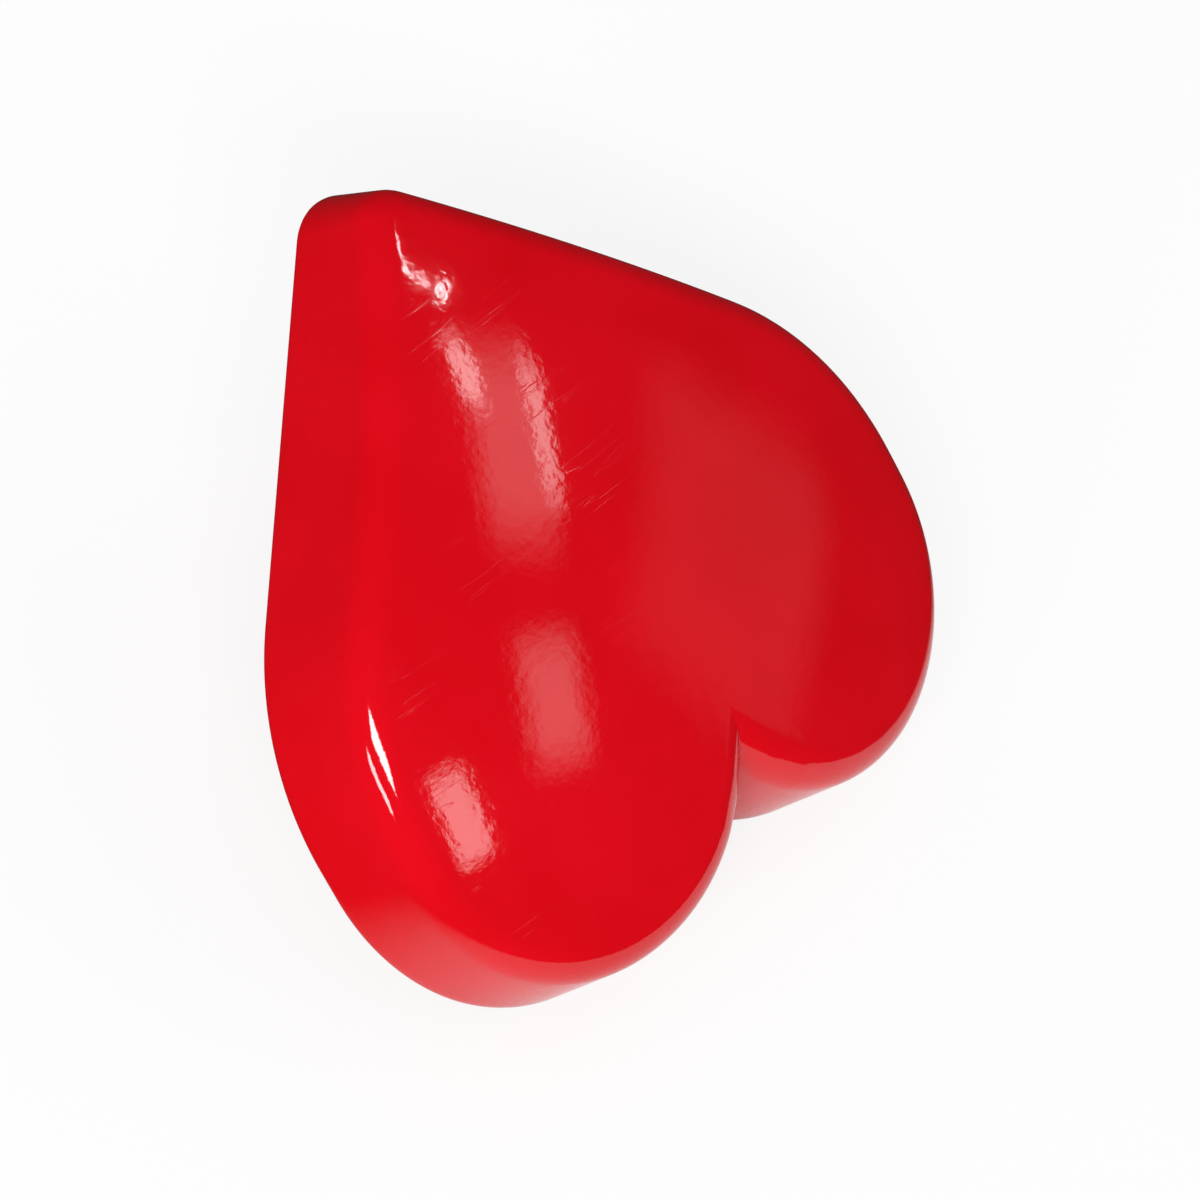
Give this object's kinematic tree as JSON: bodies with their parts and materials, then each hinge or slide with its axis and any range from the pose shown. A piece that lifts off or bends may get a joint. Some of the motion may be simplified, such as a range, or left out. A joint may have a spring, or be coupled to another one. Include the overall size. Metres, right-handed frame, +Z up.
{
  "type": "heart-shaped shank button",
  "caption": "Glossy red heart-shaped sewing button with a puffed face and a moulded loop on its flat back for the thread.",
  "frame": {"origin": "centre of the footprint box, on the surface that the button lies on", "axes": "+X along the sewing hole, from lobe to lobe; +Y from the raised tip towards the lobes that touch the surface; +Z up. The face leans 35 degrees towards +Y, as the button comes to rest on its two lobes and the end of its loop"},
  "size_m": [0.015, 0.013, 0.0098],
  "materials": {
    "red_plastic": "opaque bright red moulded plastic, high gloss, with faint flow marks and fine scratches"
  },
  "bodies": {
    "root": {"heart_button": "red_plastic"}
  },
  "joints": []
}
